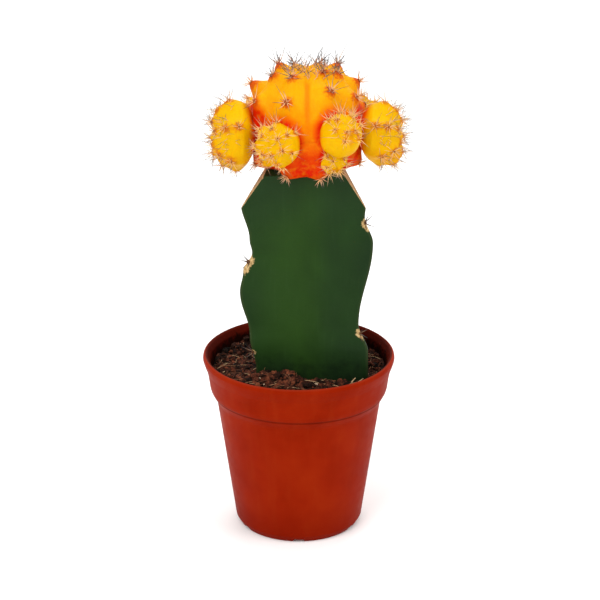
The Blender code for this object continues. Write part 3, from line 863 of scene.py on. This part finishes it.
def globeReach(globe, ways):  # distance to the surface, closeness to areoles, seam
    flat = np.hypot(ways[:, 0], ways[:, 1])
    turn = np.arctan2(ways[:, 1], ways[:, 0]) + math.pi / 2 - math.radians(globe["turned"])
    across = np.abs(np.sin(turn * globe["ribs"] / 2))
    crest = across ** globe["crest"]
    above = ways[:, 2] >= 0
    square = np.where(above, globe["squareUpper"], globe["squareLower"])
    half = np.where(above, globe["upper"], globe["lower"] * (1 - globe["furrowLift"] * (1 - crest)))
    reach = ((flat / globe["radius"]) ** square + (np.abs(ways[:, 2]) / half) ** square) ** (-1 / square)
    reach *= 1 - globe["furrow"] * np.where(above, 1, 0.5) * (1 - crest) * np.sqrt(flat)
    angles = np.arccos(np.clip(ways @ globe["areoleArray"].T, -1, 1))
    near = np.exp(-((angles * globe["radius"] / globe["tubercleWidth"]) ** 2))
    reach += globe["tubercle"] * (near @ globe["rises"])
    for azimuth, latitude, rise, width in globe["bulges"]:
        apart = np.arccos(np.clip(ways @ np.array(compass(azimuth, latitude)), -1, 1))
        reach += rise * np.exp(-((apart * globe["radius"] / width) ** 2))
    fromSeam = np.arcsin(across) * 2 / globe["ribs"] * reach * flat
    seam = np.exp(-((fromSeam / 0.8) ** 2)) * ease(ways[:, 2], 0.12, 0.55) * ease(flat, 0.3, 0.55)
    seam *= 0.25 + 0.75 * ease(-ways[:, 1] / np.maximum(flat, 0.01), 0.75, 0.95)
    reach -= globe["seam"] * seam
    reach -= np.where(above, globe["dimple"] * np.exp(-((flat * reach / globe["dimpleWidth"]) ** 2)), 0)
    return reach, near, seam


def growPlace(spec):  # an offset's centre and the way it grows, in mm
    azimuth, height, distance = spec["at"]
    centre = Vector((scion["centre"][0], 0, height)) + compass(azimuth - 90, 0) * distance
    towards = compass(spec["grows"][0] - 90, spec["grows"][1])
    return Matrix.Translation(centre) @ towards.to_track_quat("Z", "Y").to_matrix().to_4x4()


def everyGlobe():
    globes = [{**scion, "place": Matrix.Translation(scion["centre"])}]
    for name, spec in offsets.items():
        radius, upper, lower = spec["size"]
        shape = {**offsetShape, **spec.get("own", {})}
        own = {
            "name": name,
            "areoles": [
                (shape["turned"] - 90 + (rib + 0.5) * 360 / shape["ribs"], latitude, 1)
                for rib in range(shape["ribs"])
                for latitude in shape["rows"][rib % len(shape["rows"])]
            ],
            "bulges": spec.get("bulges", ()),
            "radius": radius,
            "upper": upper,
            "lower": lower,
            "tubercle": 0.13 * radius,
            "tubercleWidth": 0.2 * radius,
            "dimple": 0.06 * upper,
            "dimpleWidth": 0.3 * radius,
            "place": growPlace(spec),
        }
        globes.append({**shape, **own})
    for globe in globes:
        globe["areoleArray"] = np.array([list(compass(a, b)) for a, b, _ in globe["areoles"]])
        globe["rises"] = np.array([rise for _, _, rise in globe["areoles"]])
        globe["back"] = globe["place"].inverted()
    return globes


def reachOf(globe, way):
    return globeReach(globe, np.array([list(way)]))[0][0]


def depthIn(globe, point):  # how far a point is inside a globe, in mm; negative outside
    local = globe["back"] @ point
    return reachOf(globe, local.normalized()) - local.length


def fleshMaterial(name, stops, tip, flush, glow):
    recipe = Recipe(
        name,
        0.45,
        0.03,
        Subsurface_Weight=0.2,
        Subsurface_Scale=1.5 * mm,
        Subsurface_Radius=(1, 0.3, 0.05),
    )
    drift = recipe.span(recipe.noise(5, 4, 0.55), 0.25, 0.75, -0.09, 0.09)
    # the painted low attribute: partly the flesh's own red tone, partly painted shade
    level = recipe.sums("ADD", recipe.painted("low"), drift)
    colour = recipe.ramp(level, *stops)
    colour = recipe.over(colour, glow, recipe.noise(1.8, 5, 0.6), 0.42, 0.74, 0.25)
    # painted shade: the front furrow darkened to orange; below, the same colour is the real flush around
    # areoles
    colour = recipe.over(colour, flush, recipe.painted("seam"), 0.0, 1.0, 0.6)
    ragged = recipe.span(recipe.noise(0.8, 4, 0.6), 0.25, 0.75, -0.16, 0.16)
    sore = recipe.sums("ADD", recipe.painted("areole"), ragged)
    colour = recipe.over(colour, flush, sore, 0.2, 0.7, 0.6)
    colour = recipe.over(colour, tip, sore, 0.42, 0.78, 0.85)
    colour = recipe.over(colour, flesh["pores"], recipe.noise(0.35, 2, 0.5), 0.62, 0.75, 0.12)
    rough = recipe.span(recipe.noise(2.5, 4), 0.3, 0.7, 0.36, 0.52)
    return recipe.finish(
        colour, rough, ((recipe.noise(2.2, 4, 0.5), 0.22), (recipe.noise(0.5, 3, 0.6), 0.05))
    )


def makeGlobe(globe, globes, material, pieceName):
    bm = bmesh.new()
    bmesh.ops.create_uvsphere(bm, u_segments=globe["segments"], v_segments=globe["rings"], radius=1)
    piece = meshPiece(pieceName, bm, [material])
    ways = coordsOf(piece.data)
    ways /= np.linalg.norm(ways, axis=1)[:, None]
    reach, near, seam = globeReach(globe, ways)
    ripple = grain(ways * globe["radius"], 4.2, globe["radius"]) * globe["undulation"]
    fine = grain(ways * globe["radius"], 1.3, 9.0) * globe["undulation"] * 0.2
    pit = np.exp(-(((1 - near.max(axis=1)) / 0.05) ** 2)) * 0.4 * globe["padSize"]
    local = ways * (reach + ripple + fine - pit)[:, None]
    place = np.array(globe["place"])
    coords = local @ place[:3, :3].T + place[:3, 3]
    setCoords(piece.data, coords * mm)
    paint(piece.data, "seam", seam)
    if globe["name"] == "scion":
        paint(piece.data, "areole", (near * np.clip(0.5 + 0.45 * globe["rises"], 0, 1)).max(axis=1))
        # the scion reddens low down and where offsets crowd it: partly its own tone, partly painted shade
        low = ease(-coords[:, 2], -scion["redFrom"], -scion["redTo"])
        for other in globes[1:]:
            centre = np.array(other["place"].translation)
            space = np.linalg.norm(coords - centre, axis=1) - other["radius"]
            low = np.maximum(low, ease(-space, -4.5, 0.3))
    else:
        paint(piece.data, "areole", near.sum(axis=1) * 0.8)
        # an offset reddens on its side towards the scion and low down: partly its own tone, partly painted
        # shade
        axis = np.array(scion["centre"])
        away = np.linalg.norm(coords - axis, axis=1)
        nearest = np.linalg.norm(np.array(globe["place"].translation) - axis)
        low = 0.9 * ease(-(away - nearest), -1.5, globe["lower"] * 0.55)
        middle = globe["place"].translation[2]
        low = np.maximum(low, 0.3 * ease(-coords[:, 2], -middle, 7 - middle))
    paint(piece.data, "low", low)
    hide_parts(globe["name"])


dressing = {
    "room": 0.3,  # nearer to another globe than this, nothing grows
    "sunk": 0.3,  # how deep the spines and pads are set
    "slack": 0.02,  # how far past the solids' box, as a share of its side
    "ringLean": (35, 78),  # degrees from upright, of an areole's outer and middle spines
    "middleLean": (5, 25),
    "middleSpines": 2,
    "darkFrom": 28,  # the globe's spines darken and lengthen between these latitudes
    "darkTo": 58,
    "darkLength": 1.6,
    "lowLatitude": -20,  # spines under this latitude are short
    "lowLength": 3.2,
    # foot, middle and tip of the spines, and the felt's tones
    "scionSpine": ("EFC080", "E0B08C", "38343C"),
    "offsetSpine": ("EEC468", "E4B688", "403C42"),
    "stockSpine": ("6E5038", "40302A", "201A1A"),
    "areoleFelt": ("5E1E0E", "94401C", "D8A06A"),
    "rootstockFelt": ("2A160E", "4E2C1A", "A07A50"),
}


def spineMaterial(name):
    recipe = Recipe(name, 0.5, 0.3)
    along = recipe.painted("along")
    shift = recipe.sums("MULTIPLY", recipe.sums("SUBTRACT", recipe.painted("tint"), 0.5), 0.5)
    shifted = recipe.sums("ADD", along, shift)
    colour = recipe.ramp(shifted, *zip((0.08, 0.5, 0.92), dressing[name]))
    return recipe.finish(colour, None, ((recipe.noise(0.15, 2), 0.01),))


def feltMaterial(name):
    recipe = Recipe(name, 0.95, 0.1)
    wool = recipe.noise(0.2, 4, 0.7)
    colour = recipe.ramp(wool, *zip((0.3, 0.52, 0.74), dressing[name]))
    return recipe.finish(colour, None, ((wool, 0.15),))


def spotAt(globe, way):  # the point and outward direction there, in mm
    point = globe["place"] @ (way * reachOf(globe, way))
    return point, (globe["place"].to_3x3() @ way).normalized()


def uncovered(globe, globes, point):
    others = [other for other in globes if other["name"] != globe["name"]]
    return all(depthIn(other, point) < -dressing["room"] for other in others)


def keptIn(tip):  # whether a spine's tip stays inside the box of the solids, or just past it
    slack = [dressing["slack"] * (high - low) for low, high in zip(*cadBounds)]
    return all(
        low - room < value * mm < high + room
        for value, low, high, room in zip(tip, cadBounds[0], cadBounds[1], slack)
    )


def addSpine(spines, globe, strand, rng, root, way, bend, length, tint, layer):
    for share in (1, 0.75, 0.5):
        if keptIn(root + (way + bend) * length * share):
            width = globe["spineWidth"] * rng.uniform(0.75, 1.2)
            root, length = root * mm, length * share * mm
            addStrand(spines, strand, root, way, length, width * mm, bend, tint, layer)
            return


def emptyDress():  # meshes for spines and felt, each with the layer of its tint
    spines = bmesh.new()
    layer = spines.verts.layers.float.new("tint")
    spines.verts.layers.float.new("along")
    felt = bmesh.new()
    return spines, layer, felt, felt.verts.layers.float.new("tint")


def dressGlobe(globe, globes, number):
    rng = random.Random(seed + 11 * number)
    isScion = number == 0
    strand = strandTemplate(5, 5, 0.15)
    spines, layer, felt, feltTint = emptyDress()
    pads = lumpTemplates(3, 2 if isScion else 1, 0.35)
    for azimuth, latitude, _ in globe["areoles"]:
        point, normal = spotAt(globe, compass(azimuth, latitude))
        if not uncovered(globe, globes, point):
            continue
        turn = normal.to_track_quat("Z", "Y").to_matrix().to_4x4()
        size = globe["padSize"] * rng.uniform(0.8, 1.2)
        shape = Matrix.Diagonal((size, size * rng.uniform(0.9, 1.3), size * 0.5, 1))
        root = point - normal * dressing["sunk"] * size
        place = Matrix.Scale(mm, 4) @ Matrix.Translation(root) @ turn @ shape
        scatter(felt, rng.choice(pads), place, rng.random(), feltTint)
        count = rng.randint(*globe["spines"])
        start = rng.uniform(0, 360)
        side = normal.orthogonal().normalized()
        low, high = globe["spineLength"]
        if isScion and latitude < dressing["lowLatitude"]:
            high = dressing["lowLength"]
        dark = globe["dusky"]
        if isScion:
            dark = 0.9 * float(ease(latitude, dressing["darkFrom"], dressing["darkTo"]))
        high += dressing["darkLength"] * dark
        for k in range(count + dressing["middleSpines"]):
            around = start + 360 * k / count + rng.uniform(-20, 20)
            spin = Matrix.Rotation(math.radians(around), 3, normal)
            lean = math.radians(rng.uniform(*dressing["ringLean" if k < count else "middleLean"]))
            out = spin @ side
            way = (normal * math.cos(lean) + out * math.sin(lean)).normalized()
            length = low + (high - low) * rng.random() ** 1.4
            bend = normal * rng.uniform(-0.2, 0.45) + up * rng.uniform(-0.05, 0.2)
            bend += out.cross(normal) * rng.uniform(-0.35, 0.35)
            root = point + out * size * rng.uniform(0.1, 0.5) - normal * dressing["sunk"]
            tint = rng.random() * 0.8 + dark
            addSpine(spines, globe, strand, rng, root, way, bend, length, tint, layer)
    for _ in range(round(globe["crownSpines"] * min(1, globe["radius"] / 6))):
        away = globe["crownSpread"] * math.sqrt(rng.random())
        point, normal = spotAt(globe, compass(rng.uniform(0, 360), 90 - away))
        if not uncovered(globe, globes, point):
            continue
        loose = Vector((rng.uniform(-1, 1), rng.uniform(-1, 1), rng.uniform(-0.3, 0.6)))
        way = (normal + loose * 0.9).normalized()
        bend = Vector((rng.uniform(-0.7, 0.7), rng.uniform(-0.7, 0.7), rng.uniform(-0.3, 0.1)))
        length = rng.uniform(*globe["crownLength"])
        tint = (1.0 if isScion else 0.2) + 0.5 * rng.random() + 2 * globe["dusky"]
        root = point - normal * dressing["sunk"]
        addSpine(spines, globe, strand, rng, root, way, bend, length, tint, layer)
    return spines, felt


stockSpines = {"count": 5, "length": (2.0, 3.8), "width": 0.2, "ring": 0.25, "sunk": 0.2, "padSize": 0.6}


def dressStock():
    rng = random.Random(seed + 3)
    strand = strandTemplate(5, 4, 0.12)
    pads = lumpTemplates(3, 2, 0.3)
    spines, layer, felt, feltTint = emptyDress()
    for rib in stock["ribs"]:
        outward = compass(rib["degrees"], 0)
        side = outward.cross(up)
        for height, *_ in rib["areoles"]:
            radius = stockRadius(math.radians(rib["degrees"]), height)
            point = stockPoint(rib["degrees"], radius, height)
            size = stockSpines["padSize"] * rng.uniform(0.9, 1.15) * mm
            shape = Matrix.Diagonal((size * 0.6, size * 0.85, size * 1.1, 1))
            turn = outward.to_track_quat("X", "Z").to_matrix().to_4x4()
            place = Matrix.Translation(point - outward * 0.1 * mm) @ turn @ shape
            scatter(felt, rng.choice(pads), place, rng.random(), feltTint)
            for k in range(stockSpines["count"]):
                angle = math.tau * (k + rng.uniform(-0.2, 0.2)) / stockSpines["count"]
                across = side * math.cos(angle) + up * math.sin(angle)
                way = (outward * rng.uniform(0.5, 1.2) + across).normalized()
                length = rng.uniform(*stockSpines["length"]) * mm
                width = stockSpines["width"] * rng.uniform(0.8, 1.2) * mm
                bend = up * rng.uniform(-0.1, 0.25) + side * rng.uniform(-0.2, 0.2)
                root = point + across * stockSpines["ring"] * mm - outward * stockSpines["sunk"] * mm
                addStrand(spines, strand, root, way, length, width, bend, rng.random(), layer)
    return spines, felt


makeSoilBed()
chips = lumpTemplates(6, 2, 0.55)
flakes = lumpTemplates(6, 1, 0.5)
makeSoilLumps("soilChunks", *soil["chunks"], chips, soilMaterial("soilChunksBrown", False))
makeSoilLumps("soilCrumbs", *soil["crumbs"], flakes, soilMaterial("soilCrumbsBrown", False))
makeSoilLumps("soilGrit", *soil["grit"], flakes, gritMaterial())
makeSoilFibres()
print("potting mix made")

makeStock()
print("rootstock made")

flesh = {
    "scion": {
        "stops": (
            (0.06, "DE9A04"), (0.3, "DC8800"), (0.52, "DC7200"), (0.74, "DA5000"), (0.94, "CC1E00"),
        ),
        "tip": "B8400E",
        "flush": "D46404",
        "glow": "E8AC06",
    },
    "offset": {
        "stops": (
            (0.08, "DAA602"), (0.3, "D89802"), (0.55, "D67C02"), (0.78, "D44E02"), (0.96, "CA2A02"),
        ),
        "tip": "B8601A",
        "flush": "D68404",
        "glow": "E2B808",
    },
    "pores": "E6BC50",
}
slots = {"scion": "scion_flesh", "offset": "offset_flesh"}
looks = {}
for kind in slots:
    looks[kind] = (fleshMaterial(kind + "Flesh", **flesh[kind]), spineMaterial(kind + "Spine"))
felt = feltMaterial("areoleFelt")
globes = everyGlobe()
for number, globe in enumerate(globes):
    kind, *rest = globe["name"].split("_")
    skin, prickle = looks[kind]
    pieceName = kind + ("".join(part.title() for part in rest) or "Globe")
    makeGlobe(globe, globes, skin, pieceName)
    spines, pads = dressGlobe(globe, globes, number)
    meshPiece(pieceName + "Spines", spines, [prickle])
    meshPiece(pieceName + "Areoles", pads, [felt])
    print(globe["name"], "made")
spines, pads = dressStock()
meshPiece("rootstockSpines", spines, [spineMaterial("stockSpine")])
meshPiece("rootstockAreoles", pads, [feltMaterial("rootstockFelt")])
print("plant dressed")

studio = {
    "floorSize": 6.0,
    "floorColour": "F6F5F3",
    "floorPale": "FAFAF9",
    "sky": 0.85,
    "lamps": (  # place, size, watts
        ((-0.6, -0.75, 1.0), 0.9, 9.5),
        ((0.8, -0.35, 0.8), 0.7, 4.5),
        ((0.1, 0.9, 1.1), 0.9, 7.0),
    ),
    "lampTarget": (0, 0, 0.08),
    "cameraPlace": (0.00036, -0.700, 0.3497),
    "cameraTarget": (0.00036, 0, 0.06831),
    "lens": 158.574,
    "sensor": 36,
    "nearest": 0.01,
    "farthest": 20,
}


def turnedTo(place, target):  # the turn of a lamp or camera that looks at a point
    return (Vector(place) - Vector(target)).to_track_quat("Z", "Y").to_euler()


def makeStudio():
    bm = bmesh.new()
    bmesh.ops.create_grid(bm, x_segments=2, y_segments=2, size=studio["floorSize"] / 2)
    floor = inScene("studioFloor", meshOf("studioFloor", bm))
    recipe = Recipe("floorPaper", 0.9, 0.1)
    paper = recipe.ramp(recipe.noise(60, 3), (0.3, studio["floorColour"]), (0.7, studio["floorPale"]))
    floor.data.materials.append(recipe.finish(paper))
    world = bpy.data.worlds.new("studioSky")
    world.use_nodes = True
    sky = world.node_tree.nodes["Background"]
    sky.inputs["Color"].default_value = (1, 1, 1, 1)
    sky.inputs["Strength"].default_value = studio["sky"]
    bpy.context.scene.world = world
    for number, (place, size, watts) in enumerate(studio["lamps"]):
        lamp = bpy.data.lights.new(f"softLamp{number}", "AREA")
        lamp.size = size
        lamp.energy = watts
        holder = inScene(f"softLamp{number}", lamp)
        holder.location = place
        holder.rotation_euler = turnedTo(place, studio["lampTarget"])


def makeCamera():
    camera = bpy.data.cameras.new("camera")
    camera.lens = studio["lens"]
    camera.sensor_width = studio["sensor"]
    camera.clip_start = studio["nearest"]
    camera.clip_end = studio["farthest"]
    holder = inScene("camera", camera)
    holder.location = studio["cameraPlace"]
    holder.rotation_euler = turnedTo(studio["cameraPlace"], studio["cameraTarget"])
    bpy.context.scene.camera = holder


makeStudio()
makeCamera()
bpy.context.scene.view_settings.view_transform = "Standard"
print("studio made")
